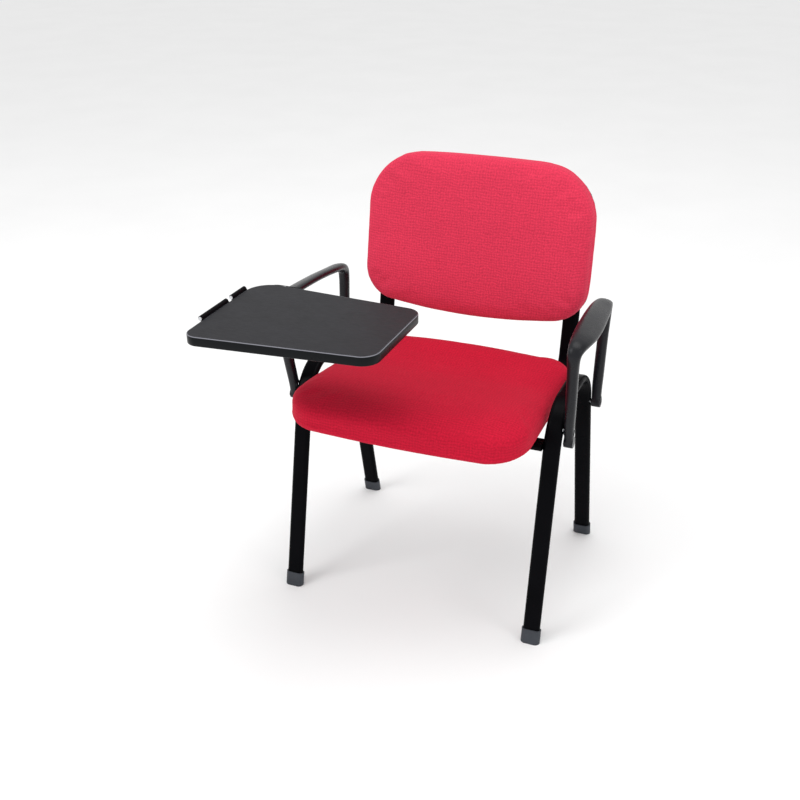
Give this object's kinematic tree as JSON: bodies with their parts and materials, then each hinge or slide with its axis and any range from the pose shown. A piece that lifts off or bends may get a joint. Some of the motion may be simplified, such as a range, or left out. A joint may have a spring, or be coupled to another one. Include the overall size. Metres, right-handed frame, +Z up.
{
  "type": "student desk chair",
  "caption": "Padded school chair on a black oval-tube frame, with plastic loop arms and a writing tablet that lifts and folds down outside the sitter's right arm.",
  "frame": {"origin": "on the floor, midway between the four feet", "axes": "+Z up; the sitter faces -Y; +X is the sitter's left, so the writing tablet is on the -X side"},
  "size_m": [0.6372, 0.6762, 0.8189],
  "materials": {
    "frame_paint": "black powder coat, semi-gloss, fine orange peel",
    "foot_plastic": "dark grey moulded plastic",
    "plywood": "raw plywood",
    "seat_fabric": "woven crimson upholstery cloth",
    "back_fabric": "woven crimson upholstery cloth",
    "shell_plastic": "black textured plastic",
    "zinc_steel": "zinc plated",
    "black_screws": "black oxide",
    "arm_plastic": "dark grey plastic, fine leather grain",
    "bracket_paint": "black powder coat",
    "brass_insert": "knurled brass",
    "tablet_laminate": "charcoal laminate, faint mottle",
    "tablet_band": "black edge band",
    "bumper_rubber": "black rubber"
  },
  "bodies": {
    "chair": {"leg_frame_left": "frame_paint", "leg_frame_right": "frame_paint", "back_rail_left": "frame_paint", "back_rail_right": "frame_paint", "front_cross_tube": "frame_paint", "rear_cross_tube": "frame_paint", "foot_front_left": "foot_plastic", "foot_front_right": "foot_plastic", "foot_rear_left": "foot_plastic", "foot_rear_right": "foot_plastic", "rail_end_plugs": "foot_plastic", "seat_plywood": "plywood", "seat_cushion": "seat_fabric", "seat_pan": "shell_plastic", "seat_screws": "zinc_steel", "seat_washers": "zinc_steel", "seat_tnuts": "zinc_steel", "back_plywood": "plywood", "back_cushion": "back_fabric", "back_shell": "shell_plastic", "back_screws": "zinc_steel", "back_washers": "zinc_steel", "back_tnuts": "zinc_steel", "back_shell_screws": "black_screws", "armrest_left": "arm_plastic", "armrest_right": "arm_plastic", "arm_bolts": "black_screws", "arm_rivet_nuts": "zinc_steel", "tablet_saddle": "arm_plastic", "tablet_carrier": "bracket_paint", "carrier_screws": "zinc_steel", "arm_inserts": "brass_insert", "hinge_leaf_fixed_front": "bracket_paint", "hinge_leaf_fixed_rear": "bracket_paint", "hinge_rivets": "bracket_paint", "hinge_pin_front": "zinc_steel", "hinge_pin_rear": "zinc_steel", "tablet_bumpers": "bumper_rubber", "fold_stop_pads": "bumper_rubber"},
    "tablet": {"hinge_leaf_moving_front": "bracket_paint", "hinge_leaf_moving_rear": "bracket_paint", "tablet_board": "tablet_laminate", "tablet_edge_band": "tablet_band", "tablet_screws": "zinc_steel"}
  },
  "joints": [
    {"name": "tablet_fold", "type": "hinge", "parent": "chair", "child": "tablet", "pos_m": [-0.3217, -0.2705, 0.6385], "axis": [0, -1, 0], "range_deg": [0, 268]}
  ]
}
